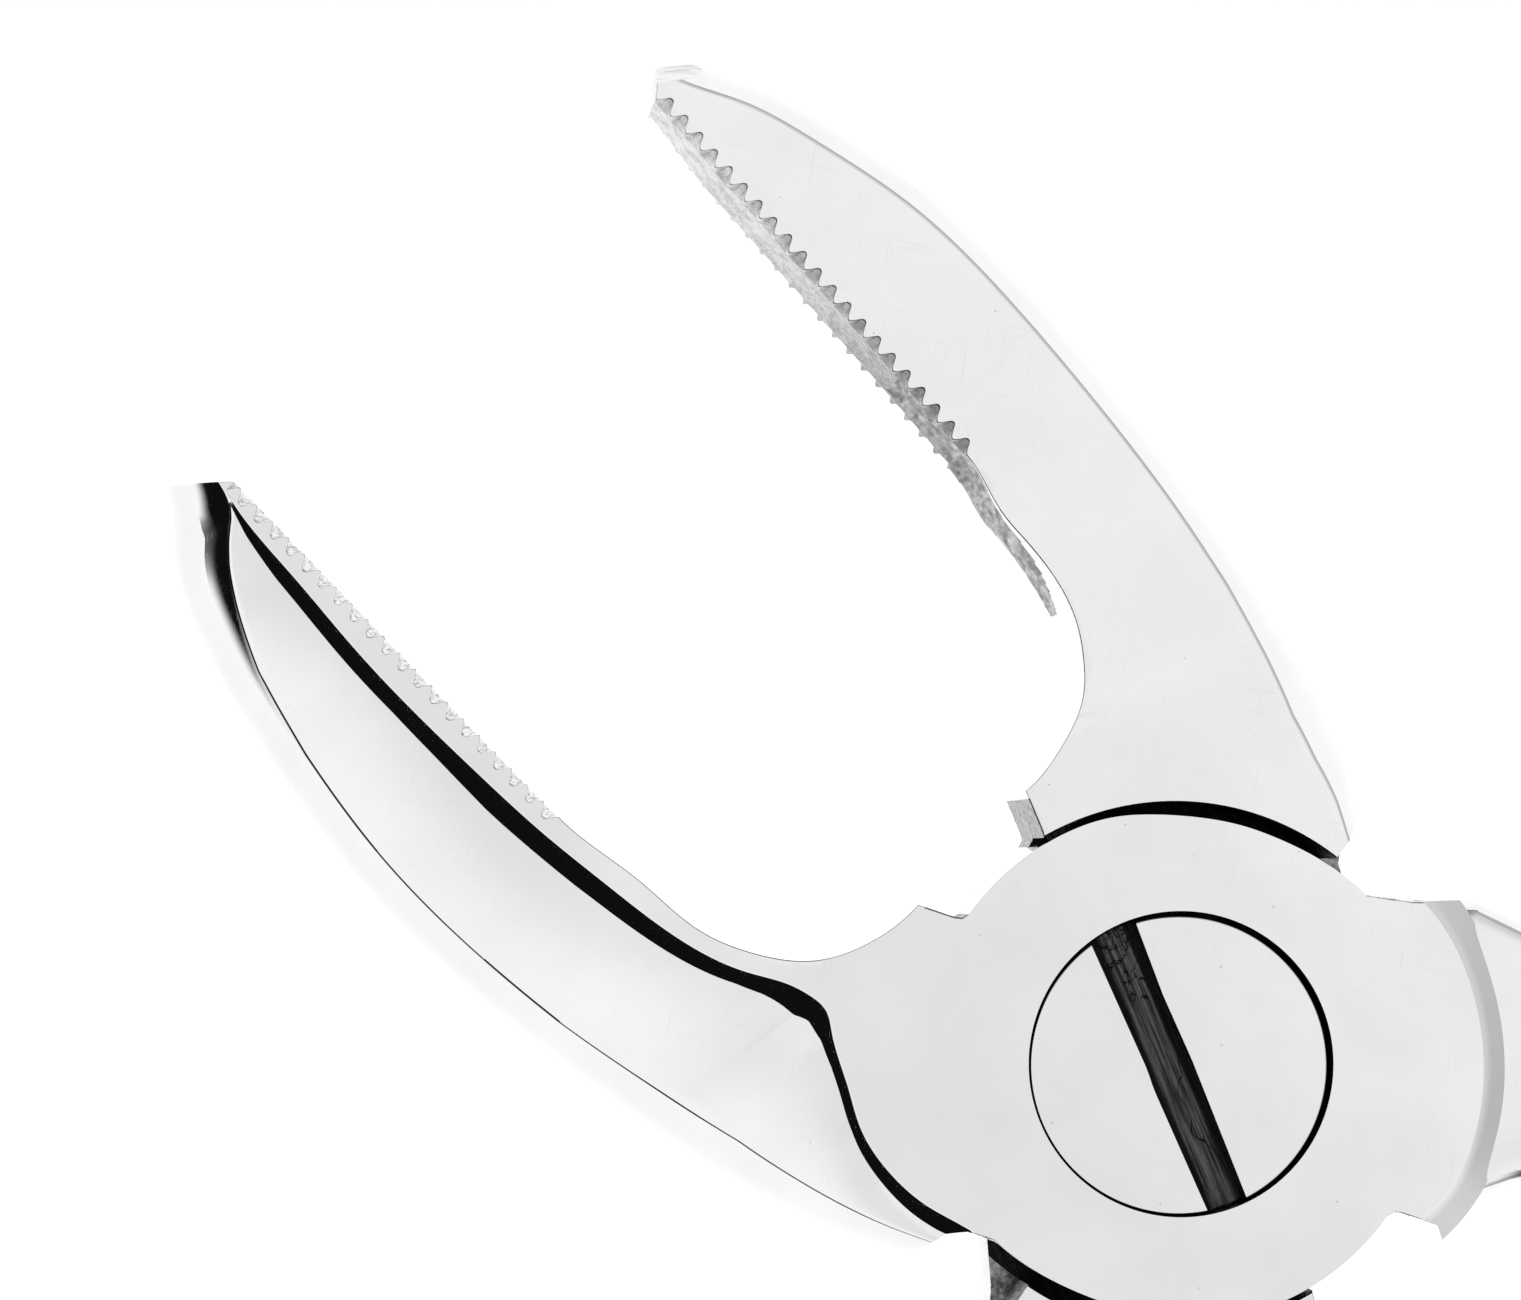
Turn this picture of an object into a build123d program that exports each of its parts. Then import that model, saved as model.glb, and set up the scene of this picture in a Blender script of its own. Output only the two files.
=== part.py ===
"""Crossing-lever nutcracker: two identical levers, lapped at the pivot, on one flush slotted screw.

Frame: the origin is on the pivot axis at the back face, +Z is the front face's side, and +Y points
along the tool to the jaws. Millimetres. The model stands at rest with the jaws half open.
"""
import os
from math import atan, cos, degrees, hypot, radians, sin

from build123d import *

# ---- driving dimensions ----
stack_t = 14.0  # thickness of the two lapped discs together
disc_r = 13.0  # pivot disc
shoulder_gap = 0.5  # between a disc and the other lever's arc shoulder
lap_gap = 0.1  # between the faces of the two discs
rest_half = 12.4  # each lever stands this many degrees open at rest

jaw_t = 10.0  # thickness over the teeth
grip_t = 11.6  # thickness of the handle at its middle
step_h = 0.7  # the side panel lies this far below the toothed strip
roll_r = 2.0  # rounding of the jaw's outer side
grip_r = 3.9  # rounding of the handle
edge_c = 0.25  # small chamfer on the heads and recesses

head_r = 7.6  # pivot screw head and pivot nut
head_t = 3.0
recess_r = 7.75
recess_shift = 0.08  # the recess is bored a little off the pivot axis
end_play = 0.1  # between a head and its recess's floor
shank_r = 5.0
bore_r = 5.05
thread_r = 4.0
slot_w = (2.6, 2.15)  # the slot narrows from its jaw end to its handle end
slot_depth = 1.7
slot_tilt = 20.5  # degrees clockwise from the tool's long axis
spanner_hole_r = 0.9
spanner_hole_pitch = 11.6
spanner_hole_depth = 1.5

tooth_count = 21
tooth_depth = 0.66
tooth_land = 0.97  # share of the pitch that a notch takes up
notch_drop = 2.5  # a notch runs out on the inner wall this far below the face

# ---- plan outline of one lever in the closed pose: jaw left of the Y axis, handle right of it ----
tip_in, tip_out = (-2.82, 56.32), (-4.3, 58.3)
root_in = (-6.92, 32.55)
stop_in, stop_out = (0.0, 13.60), (-0.64, 15.70)
heel_in, heel_out, heel_top = (-12.63, 3.08), (-13.77, 5.38), (-15.81, 8.19)
jaw_inner = [root_in, (-7.42, 28.25), (-7.55, 22.8), (-5.67, 18.45), stop_out]
jaw_outer = [tip_out, (-8.34, 54.26), (-12.41, 46.96), (-14.75, 39.2), (-16.03, 28.6), (-16.5, 16.5), heel_top]
grip_inner = [(0.64, -15.70), (5.4, -18.9), (7.0, -28.0), (7.6, -48.0), (7.8, -74.0), (6.4, -98.0), (6.0, -111.5)]
grip_end = (11.6, -118.2)
grip_outer = [(17.6, -112.5), (18.3, -104.0), (18.7, -84.0), (17.8, -60.0), (17.4, -38.0), (17.2, -20.0),
              (15.81, -8.19)]
heel_angle = 21.5  # degrees past the X axis where the half behind the disc ends

# the strip beside the teeth and the disc stay high, and the panel outside this line is let down
step_line = [(-3.85, 57.6), (-5.6, 48.0), (-7.9, 40.0), (-8.9, 32.0), (-9.5, 24.5), (-8.9, 19.6),
             (-9.4, 14.6), (-12.0, 10.5), (-12.9, 6.5), (-12.7, 3.0)]

# side view: Y where the faces leave the disc's level, and where they reach the jaw's and the grip's
jaw_end, jaw_flat, disc_flat = 62.0, 34.0, 16.8
grip_slim, grip_full, grip_tip = (-46.0, -78.0), -106.0, -122.0
wide = 40.0  # more than any width of a lever

# ---- derived ----
mid_z = stack_t / 2
shoulder_r = disc_r + shoulder_gap
tooth_run = (root_in[0] - tip_in[0], root_in[1] - tip_in[1])
tooth_line_length = hypot(*tooth_run)
tooth_pitch = tooth_line_length / tooth_count
notch_half = tooth_pitch * tooth_land / 2
notch_inner_r = notch_half * tooth_depth / hypot(notch_half, tooth_depth)
notch_taper = degrees(atan(notch_inner_r / (notch_drop + 0.1)))
heel_far = (-wide * cos(radians(heel_angle)), wide * sin(radians(heel_angle)))


def draw_side_view(drop):
    """Lines of the lever's side outline in the YZ plane, moved in by drop from both faces."""
    for side in (1, -1):
        jaw_z = mid_z + side * (jaw_t / 2 - drop)
        disc_z = mid_z + side * (stack_t / 2 - drop)
        grip_z = mid_z + side * (grip_t / 2 - drop)
        Line((jaw_end, jaw_z), (jaw_flat, jaw_z))
        Spline((jaw_flat, jaw_z), (disc_flat, disc_z), tangents=[(-1, 0), (-1, 0)])
        Line((disc_flat, disc_z), (-disc_flat, disc_z))
        Spline((-disc_flat, disc_z), (grip_slim[0], grip_z), (grip_slim[1], grip_z), (grip_full, disc_z),
               tangents=[(-1, 0), (-1, 0)])
        Line((grip_full, disc_z), (grip_tip, disc_z))
    Line((jaw_end, mid_z - jaw_t / 2 + drop), (jaw_end, mid_z + jaw_t / 2 - drop))
    Line((grip_tip, drop), (grip_tip, stack_t - drop))


def flip(point):
    """The same point on the other side of the pivot."""
    return (-point[0], -point[1])


# ---- material let down over the jaw's side panels, front and back ----
with BuildPart() as panel_relief:
    with BuildSketch(Plane.XY):
        with BuildLine():
            Spline(step_line)
            Polyline(step_line[-1], (-wide, step_line[-1][1]), (-wide, jaw_end - 1),
                     (step_line[0][0], jaw_end - 1), step_line[0])
        make_face()
    extrude(amount=stack_t)
    with BuildSketch(Plane.YZ):
        with BuildLine():
            draw_side_view(step_h)
        make_face()
    extrude(amount=wide, both=True, mode=Mode.SUBTRACT)

# ---- one lever, closed pose, its disc in the front half ----
with BuildPart() as lever:
    # plan outline: jaw, handle and disc
    with BuildSketch(Plane.XY):
        with BuildLine():
            Line(tip_in, root_in)
            Spline(jaw_inner, tangents=[tooth_run, (1.0, -0.12)])
            Polyline(stop_out, stop_in, (0.0, 0.0), (-disc_r, 0.0), heel_in, heel_out, heel_top)
            Spline(jaw_outer)
            Line(tip_out, tip_in)
        make_face()
        with BuildLine():
            Spline(grip_inner)
            ThreePointArc(grip_inner[-1], grip_end, grip_outer[0])
            Spline(grip_outer)
            Polyline(grip_outer[-1], flip(heel_out), flip(heel_in), (disc_r, 0.0), (0.0, 0.0), flip(stop_in),
                     grip_inner[0])
        make_face()
        Circle(disc_r)
    extrude(amount=stack_t)

    # side view: thin at the teeth, full at the disc and at the handle's end
    with BuildSketch(Plane.YZ):
        with BuildLine():
            draw_side_view(0.0)
        make_face()
    extrude(amount=wide, both=True, mode=Mode.INTERSECT)

    # let-down side panels, then the rounded handle and the rounded outer side of the jaw
    add(panel_relief.part, mode=Mode.SUBTRACT)
    rims = edges().filter_by(lambda edge: abs(edge.center().Z - mid_z) > 1.0)
    fillet(rims.filter_by(lambda edge: edge.center().Y < -20.0 and edge.length > 60.0), grip_r)
    rims = edges().filter_by(lambda edge: abs(edge.center().Z - mid_z) > 1.0 and edge.center().X < -12.2)
    fillet(rims.filter_by(lambda edge: edge.center().Y > 8.5 and edge.bounding_box().size.Y > 5.0), roll_r)

    # the back half gives way to the other lever's disc, out to an arc shoulder, and to its heels
    with BuildSketch(Plane.XY):
        Circle(shoulder_r)
        Polygon((0.0, 0.0), heel_far, (-wide, 0.0), align=None)
        Polygon((0.0, 0.0), flip(heel_far), (wide, 0.0), align=None)
    extrude(amount=mid_z + lap_gap / 2, mode=Mode.SUBTRACT)

    # recess for the screw's head or the nut, and the bearing bore
    with BuildSketch(Plane.XY.offset(stack_t)):
        with Locations((recess_shift, 0.0)):
            Circle(recess_r)
    extrude(amount=-(head_t + end_play), mode=Mode.SUBTRACT)
    with Locations((0.0, 0.0, stack_t)):
        Hole(bore_r)

    # two rows of teeth: notches that run out down the inner wall from each face
    for face in (1, -1):
        face_z = mid_z + face * jaw_t / 2
        into_wall = Plane(origin=(tip_in[0], tip_in[1], face_z), x_dir=(*tooth_run, 0.0), z_dir=(0, 0, -face))
        with BuildSketch(into_wall):
            for n in range(tooth_count):
                with Locations(((n + 0.5) * tooth_pitch, 0.0)):
                    Polygon((-notch_half, 0.0), (0.0, -tooth_depth), (notch_half, 0.0), (0.0, tooth_depth))
        extrude(amount=notch_drop, taper=notch_taper, mode=Mode.SUBTRACT)

# ---- the two levers at rest: the rear one is the same piece turned over ----
with BuildPart() as front_lever:
    add(lever.part.rotate(Axis.Z, rest_half))

with BuildPart() as rear_lever:
    add(lever.part.rotate(Axis((0, 0, mid_z), (0, 1, 0)), 180.0).rotate(Axis.Z, -rest_half))

# ---- pivot screw: flush slotted head, bearing shank, threaded end ----
with BuildPart() as pivot_screw:
    with BuildSketch(Plane.XY.offset(stack_t)):
        Circle(head_r)
    extrude(amount=-head_t)
    chamfer(edges().group_by(Axis.Z)[-1], edge_c)
    with BuildSketch(Plane.XY.offset(stack_t - head_t)):
        Circle(shank_r)
    extrude(amount=-(stack_t - 2 * head_t))
    with BuildSketch(Plane.XY.offset(head_t)):
        Circle(thread_r)
    extrude(amount=-(head_t - 0.4))
    chamfer(edges().group_by(Axis.Z)[0], 0.4)
    with BuildSketch(Plane.XY.offset(stack_t).rotated((0, 0, -slot_tilt))):
        with BuildLine():
            Polyline((-slot_w[0] / 2, head_r + 1), (slot_w[0] / 2, head_r + 1), (slot_w[1] / 2, -head_r - 1),
                     (-slot_w[1] / 2, -head_r - 1), close=True)
        make_face()
    extrude(amount=-slot_depth, mode=Mode.SUBTRACT)

# ---- pivot nut: flush round nut with two holes for a pin spanner ----
with BuildPart() as pivot_nut:
    with BuildSketch(Plane.XY):
        Circle(head_r)
        Circle(thread_r, mode=Mode.SUBTRACT)
    extrude(amount=head_t)
    rim = edges().group_by(Axis.Z)[0].sort_by(SortBy.RADIUS)[-1]
    chamfer(rim, edge_c)
    with BuildSketch(Plane.XY):
        with GridLocations(spanner_hole_pitch, 1.0, 2, 1):
            Circle(spanner_hole_r)
    extrude(amount=spanner_hole_depth, mode=Mode.SUBTRACT)

# ---- write one file for each piece ----
front_lever.part.label = "front_lever"
rear_lever.part.label = "rear_lever"
pivot_screw.part.label = "pivot_screw"
pivot_nut.part.label = "pivot_nut"
os.makedirs("parts", exist_ok=True)
export_step(front_lever.part, "parts/front_lever.step")
export_step(rear_lever.part, "parts/rear_lever.step")
export_step(pivot_screw.part, "parts/pivot_screw.step")
export_step(pivot_nut.part, "parts/pivot_nut.step")
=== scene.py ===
"""Nutcracker: the two polished levers, the slotted pivot screw and its nut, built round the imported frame.

A lever is shaped in millimetres in its own frame, as it stands when the tool is closed: X across, Y towards
the jaw's tip, Z = 0 in the middle plane. Its +Z face has the step and its -Z face is level. The two levers
are built alike, each from its own jaw outline, and the rear one is turned over.
"""
import math
import bmesh
import bpy
import numpy as np
from mathutils import Matrix, Vector
from mathutils.geometry import delaunay_2d_cdt


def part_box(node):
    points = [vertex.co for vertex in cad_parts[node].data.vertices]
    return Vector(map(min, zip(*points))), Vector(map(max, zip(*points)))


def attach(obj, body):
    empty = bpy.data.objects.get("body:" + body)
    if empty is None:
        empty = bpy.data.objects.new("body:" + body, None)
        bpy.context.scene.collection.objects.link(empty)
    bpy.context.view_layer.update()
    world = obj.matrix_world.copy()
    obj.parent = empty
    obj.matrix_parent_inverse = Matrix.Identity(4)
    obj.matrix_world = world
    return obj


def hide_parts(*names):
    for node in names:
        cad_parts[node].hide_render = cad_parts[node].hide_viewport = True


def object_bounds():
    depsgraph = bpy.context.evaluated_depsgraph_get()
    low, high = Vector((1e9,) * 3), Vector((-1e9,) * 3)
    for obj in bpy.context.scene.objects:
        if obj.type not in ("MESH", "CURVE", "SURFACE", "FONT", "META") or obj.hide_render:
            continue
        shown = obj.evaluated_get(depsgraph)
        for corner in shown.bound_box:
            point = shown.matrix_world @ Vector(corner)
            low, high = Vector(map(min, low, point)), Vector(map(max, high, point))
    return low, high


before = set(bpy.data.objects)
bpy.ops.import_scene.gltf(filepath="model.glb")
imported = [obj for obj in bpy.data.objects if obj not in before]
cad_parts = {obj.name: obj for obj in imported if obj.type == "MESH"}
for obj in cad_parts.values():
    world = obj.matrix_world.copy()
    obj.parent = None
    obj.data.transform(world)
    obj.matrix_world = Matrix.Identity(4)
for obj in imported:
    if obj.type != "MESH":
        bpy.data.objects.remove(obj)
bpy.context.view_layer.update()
MM = 0.001

# ---- sizes in millimetres, taken from the frame ----
head_low, head_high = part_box("pivot_screw")
STACK_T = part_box("front_lever")[1].z / MM
MID_Z = STACK_T / 2
HEAD_R = (head_high.x - head_low.x) / 2 / MM
RECESS_R = HEAD_R + 0.19
RECESS_SHIFT = (0.13, -0.08)
SLOT_SHIFT = 0.45
SLOT_TILT = 20.5
RECESS_DEPTH = 3.1
SHOULDER_R = 13.45
SHOULDER_SHIFT = (0.15, 0.05)
BORE_R = 5.05
LAP_GAP = 0.1
REST_HALF = math.radians(12.4)

# half the lever's thickness at the disc, the teeth and the grip
HALF_DISC = MID_Z
HALF_JAW = 5.0
HALF_GRIP = 5.8
# how far the raised faces and the jaw's level face lie below half_thickness
RAISED_DROP = 0.006
LEVEL_DROP = 0.02

# ---- plan outlines: jaw left of the Y axis, handle right of it ----
# The jaws were ground by hand and differ a little. Each has these:
# row, the toothed row's two ends, and tip, the two corners of the jaw's end
# inner and outer, the jaw's two edges
# roll, the plan width of the rolled outer side by distance along the outer edge, and steep, its slope in
# degrees at the ridge on the stepped face
# facet, the line that the tip is bevelled back to, and teeth, the finish of the toothed wall
# swell, how far that wall bulges between the faces, and hump, what the neck adds to it
# lean, how much further out the toothed wall is at the stepped face than at the level one
FRONT = {
    "row": ((-2.33, 57.3), (-7.29, 33.2)), "tip": ((-2.47, 56.61), (-4.29, 59.05)),
    "inner": [(-7.29, 33.2), (-7.66, 28.0), (-8.04, 24.1), (-7.33, 20.8), (-6.08, 18.47), (-4.21, 16.91),
              (-0.72, 15.65)],
    "outer": [(-4.2, 60.4), (-5.2, 58.85), (-6.9, 57.5), (-9.6, 54.45), (-13.16, 47.3), (-15.45, 41.0),
              (-17.4, 30.2), (-17.9, 21.0), (-16.7, 8.3), (-15.85, 5.8), (-15.0, 3.5)],
    "roll": [(0.0, 3.5), (4.2, 3.3), (5.2, 3.0), (6.5, 2.7), (8.5, 2.38), (12.0, 1.88), (17.0, 1.62),
             (36.0, 1.68), (47.0, 2.1), (53.6, 1.8), (58.0, 1.6)],
    "steep": [(0.0, 31.0), (6.0, 32.0), (11.0, 38.0), (16.0, 44.0), (20.0, 47.0)], "facet": None,
    "teeth": "bright", "swell": -0.2, "hump": 0.2, "lean": 0.0}
REAR = {
    "row": ((-2.57, 56.15), (-6.88, 32.25)), "tip": ((-2.57, 56.15), (-3.95, 57.98)),
    "inner": [(-6.88, 32.25), (-6.88, 28.9), (-7.18, 26.9), (-7.42, 24.8), (-7.38, 23.2), (-7.07, 21.7),
              (-6.48, 20.25), (-5.42, 18.6), (-4.34, 17.7), (-2.93, 16.9), (-0.48, 16.05)],
    "outer": [(-3.6, 60.2), (-4.7, 58.2), (-5.75, 56.75), (-7.7, 54.5), (-9.95, 50.8), (-12.5, 45.5),
              (-14.55, 38.0), (-16.1, 27.6), (-16.7, 17.4), (-16.0, 8.3), (-14.8, 5.0), (-13.9, 2.5)],
    "roll": [(0.0, 1.4), (14.0, 1.5), (30.0, 1.6), (38.0, 1.65), (43.0, 1.75), (47.0, 2.05), (50.5, 2.4),
             (53.0, 2.3), (55.5, 1.9), (58.0, 1.7)],
    "steep": FRONT["steep"], "facet": ((-3.05, 56.87), (-4.42, 56.17)),
    "teeth": "dull", "swell": -0.4, "hump": 0.75, "lean": 0.32}
# where the stop wall comes down to the disc
STOP_IN = (-0.1, 13.45)
# radius of the disc's edge on the jaw's side at angles from the X axis
DISC_EDGE = [(-14.0, 13.0), (-5.0, 12.85), (9.0, 12.66), (30.0, 12.70), (38.0, 12.82), (50.0, 13.15),
             (60.0, 13.2), (88.5, 13.2)]
STOP_ANGLE = 88.5
# the heels' plan lines, and the slopes of the walls behind them in degrees
GRIP_HEEL = [(12.63, -3.08), (13.77, -5.38), (15.81, -8.19)]
JAW_HEEL = [(-12.71, 2.75), (-13.1, 4.2), (-13.8, 5.0), (-15.0, 5.5), (-16.2, 5.95), (-18.0, 6.4)]
GRIP_HEEL_SLOPE = 24.5
JAW_HEEL_SLOPE = 21.5
# the step between the raised face and the jaw's side panel, from the tip round the disc
STEP_LINE = [(-2.3, 59.3), (-2.95, 57.2), (-3.6, 55.5), (-4.78, 51.3), (-6.04, 46.7), (-6.93, 42.7),
             (-7.75, 38.0), (-8.42, 33.3), (-8.75, 29.4), (-8.98, 25.2), (-8.4, 20.8), (-7.8, 19.0),
             (-7.61, 17.5), (-7.8, 16.4), (-8.5, 15.6), (-10.47, 13.2), (-11.75, 11.6), (-12.79, 9.1),
             (-13.1, 6.6), (-12.94, 4.7), (-12.95, 1.5), (-13.6, -2.0)]
# how far the side panel lies below the face at the foot of the step, at distances along the step
STEP_FALL = [(0.0, 0.16), (4.0, 0.17), (5.2, 0.32), (8.0, 0.45), (17.0, 0.45), (20.0, 0.52), (24.0, 0.64),
             (30.0, 0.64), (35.0, 0.54), (39.5, 0.46), (41.0, 0.55), (43.0, 0.80), (45.0, 0.36), (46.5, 0.29),
             (50.0, 0.30), (52.5, 0.45), (55.0, 0.62), (57.0, 0.75), (59.5, 0.60), (62.0, 0.40), (65.0, 0.40)]
# how far out the raised disc is made, past the edge that it is trimmed to
RAISED_R = 14.2
STEP_SLOPE = math.radians(32.0)
# the ridge's turn, which is scaled to its width: (distance out, drop)
RIDGE_TURN = [(0.14, 0.012), (0.28, 0.045), (0.37, 0.09), (0.44, 0.14), (0.50, 0.19)]
GRIP_INNER = [(0.64, -15.70), (5.4, -18.9), (7.0, -28.0), (7.6, -48.0), (7.8, -74.0), (6.4, -98.0),
              (6.0, -111.5)]
GRIP_OUTER = [(15.81, -8.19), (17.2, -20.0), (17.4, -38.0), (17.8, -60.0), (18.7, -84.0), (18.3, -104.0),
              (17.6, -111.5)]
GRIP_END_Y = -118.2

JAW_POINTS = 230
NECK_POINTS = 80
TOOTH_COUNT = 21
# from one tooth's tip through the notch after it: (share of the pitch, share of the depth)
TOOTH_PROFILE = [(0.0, 0.0), (0.06, 0.05), (0.14, 0.2), (0.36, 0.84), (0.43, 0.96), (0.5, 1.0), (0.57, 0.96),
                 (0.64, 0.84), (0.86, 0.2), (0.94, 0.05)]
TOOTH_DEPTH = 0.64
NOTCH_DROP = 1.2
# how far below the face the rows of a wall are
WALL_DROPS = (0.3, 0.6, 0.9, NOTCH_DROP, 1.6, 2.0, 2.45, 2.9, 3.3, 3.7, 4.1, 4.5, 4.8)


# ---- materials: patterns are in the piece's own millimetres ----
def node(tree, kind, inputs=(), **settings):
    """Adds a node. inputs are (socket, value) pairs. A value is a number, a colour or another socket."""
    made = tree.nodes.new(kind)
    for key, value in settings.items():
        setattr(made, key, value)
    for socket, value in inputs:
        if isinstance(value, bpy.types.NodeSocket):
            tree.links.new(value, made.inputs[socket])
        else:
            made.inputs[socket].default_value = value
    return made


def between(tree, value, low, high, start=0.0, end=1.0):
    """start below low, end above high, and smooth between them."""
    return node(tree, "ShaderNodeMapRange", (("Value", value), ("From Min", low), ("From Max", high),
                                             ("To Min", start), ("To Max", end)),
                interpolation_type="SMOOTHSTEP").outputs["Result"]


def maths(tree, operation, one, other):
    return node(tree, "ShaderNodeMath", ((0, one), (1, other)), operation=operation).outputs["Value"]


def pattern(tree, scale, turn=0.0, detail=3.0, roughness=0.5):
    """Noise of so many cells per millimetre along each axis, its axes turned in plan by turn degrees."""
    place = node(tree, "ShaderNodeTexCoord").outputs["Object"]
    turned = node(tree, "ShaderNodeMapping", (("Vector", place), ("Rotation", (0, 0, math.radians(turn)))))
    per_metre = tuple(s / MM for s in scale)
    scaled = node(tree, "ShaderNodeVectorMath", ((0, turned.outputs[0]), (1, per_metre)),
                  operation="MULTIPLY")
    return node(tree, "ShaderNodeTexNoise", (("Vector", scaled.outputs[0]), ("Scale", 1.0),
                                             ("Detail", detail), ("Roughness", roughness))).outputs["Fac"]


def metal(name, dark, light, shade, roughness, relief, relief_mm):
    """A metal that goes from dark to light with shade, a function of its tree, as do roughness and relief."""
    material = bpy.data.materials.new(name)
    material.use_nodes = True
    tree = material.node_tree
    shader = tree.nodes["Principled BSDF"]
    shader.inputs["Metallic"].default_value = 1.0
    mix = node(tree, "ShaderNodeValToRGB", (("Fac", shade(tree)),))
    mix.color_ramp.elements[0].color = (*dark, 1)
    mix.color_ramp.elements[1].color = (*light, 1)
    tree.links.new(mix.outputs["Color"], shader.inputs["Base Color"])
    tree.links.new(roughness(tree), shader.inputs["Roughness"])
    bump = node(tree, "ShaderNodeBump", (("Height", relief(tree)), ("Distance", relief_mm * MM),
                                         ("Strength", 1.0)))
    tree.links.new(bump.outputs["Normal"], shader.inputs["Normal"])
    return material


def hairlines(tree):
    """1 on a fine scratch, in three directions."""
    total = None
    for turn, scale, limit in ((-38.0, (0.22, 11.0, 11.0), 0.70), (55.0, (0.30, 9.0, 9.0), 0.715),
                               (8.0, (0.16, 13.0, 13.0), 0.72)):
        line = between(tree, pattern(tree, scale, turn, 1.0), limit, limit + 0.025)
        total = line if total is None else maths(tree, "MAXIMUM", total, line)
    return total


def specks(tree):
    """1 in a few tiny pits."""
    place = node(tree, "ShaderNodeTexCoord").outputs["Object"]
    scaled = node(tree, "ShaderNodeVectorMath", (("Vector", place), ("Scale", 0.75 / MM)), operation="SCALE")
    cell = node(tree, "ShaderNodeTexVoronoi", (("Vector", scaled.outputs[0]), ("Scale", 1.0)))
    dot = between(tree, cell.outputs["Distance"], 0.055, 0.035)
    chance = node(tree, "ShaderNodeSeparateColor", ((0, cell.outputs["Color"]),)).outputs[0]
    return maths(tree, "MULTIPLY", dot, between(tree, chance, 0.70, 0.72))


def polish_shade(tree):
    cloud = between(tree, pattern(tree, (0.16, 0.16, 0.16), 0.0, 4.0), 0.3, 0.7, 0.87, 1.0)
    worn = maths(tree, "MULTIPLY", hairlines(tree), 0.12)
    pitted = maths(tree, "MULTIPLY", specks(tree), 0.8)
    return maths(tree, "SUBTRACT", maths(tree, "SUBTRACT", cloud, worn), pitted)


def polish_roughness(tree):
    cloud = between(tree, pattern(tree, (0.5, 0.5, 0.5)), 0.3, 0.75, 0.02, 0.06)
    return maths(tree, "ADD", cloud, maths(tree, "MULTIPLY", hairlines(tree), 0.05))


def polish_relief(tree):
    waves = maths(tree, "MULTIPLY", pattern(tree, (0.22, 0.22, 0.22), 20.0, 2.0), 3.0)
    return maths(tree, "SUBTRACT", waves, maths(tree, "MULTIPLY", hairlines(tree), 0.10))


polished = metal("polished_steel", (0.58, 0.58, 0.59), (0.90, 0.90, 0.905), polish_shade, polish_roughness,
                 polish_relief, 0.004)


def cut_shade(tree):
    """Mottled, and darker towards the neck."""
    place = node(tree, "ShaderNodeTexCoord").outputs["Object"]
    away = node(tree, "ShaderNodeVectorMath", ((0, place),), operation="LENGTH").outputs["Value"]
    mottle = between(tree, pattern(tree, (1.3, 1.3, 0.6), 0.0, 3.0, 0.5), 0.32, 0.66, 0.55, 1.0)
    return maths(tree, "MULTIPLY", mottle, between(tree, away, 32 * MM, 58 * MM, 0.2, 1.0))


cut_metal = metal("cut_steel", (0.06, 0.06, 0.062), (0.72, 0.72, 0.725), cut_shade,
                  lambda tree: between(tree, pattern(tree, (3.5, 3.5, 3.5)), 0.3, 0.7, 0.14, 0.40),
                  lambda tree: pattern(tree, (3.0, 3.0, 3.0), 15.0, 3.0, 0.55), 0.04)
bright_cut = metal("bright_cut_steel", (0.40, 0.40, 0.405), (0.88, 0.88, 0.885),
                   lambda tree: between(tree, pattern(tree, (0.5, 7.0, 2.6), 35.0, 3.0, 0.6), 0.34, 0.56),
                   lambda tree: between(tree, pattern(tree, (3.5, 3.5, 3.5)), 0.3, 0.7, 0.06, 0.2),
                   lambda tree: pattern(tree, (2.0, 7.0, 5.0), 35.0, 4.0, 0.65), 0.03)


def forged_shade(tree):
    """Streaks from face to face with broader clouds."""
    streaks = maths(tree, "MULTIPLY", pattern(tree, (2.6, 2.6, 0.25)), 0.5)
    clouds = maths(tree, "MULTIPLY", pattern(tree, (0.7, 0.7, 0.7)), 0.5)
    return between(tree, maths(tree, "ADD", streaks, clouds), 0.38, 0.68)


forged = metal("forged_steel", (0.06, 0.06, 0.063), (0.40, 0.40, 0.405), forged_shade,
               lambda tree: between(tree, pattern(tree, (2.0, 2.0, 0.5)), 0.3, 0.7, 0.22, 0.48),
               lambda tree: pattern(tree, (4.0, 4.0, 0.6), 0.0, 3.0, 0.5), 0.04)


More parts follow.
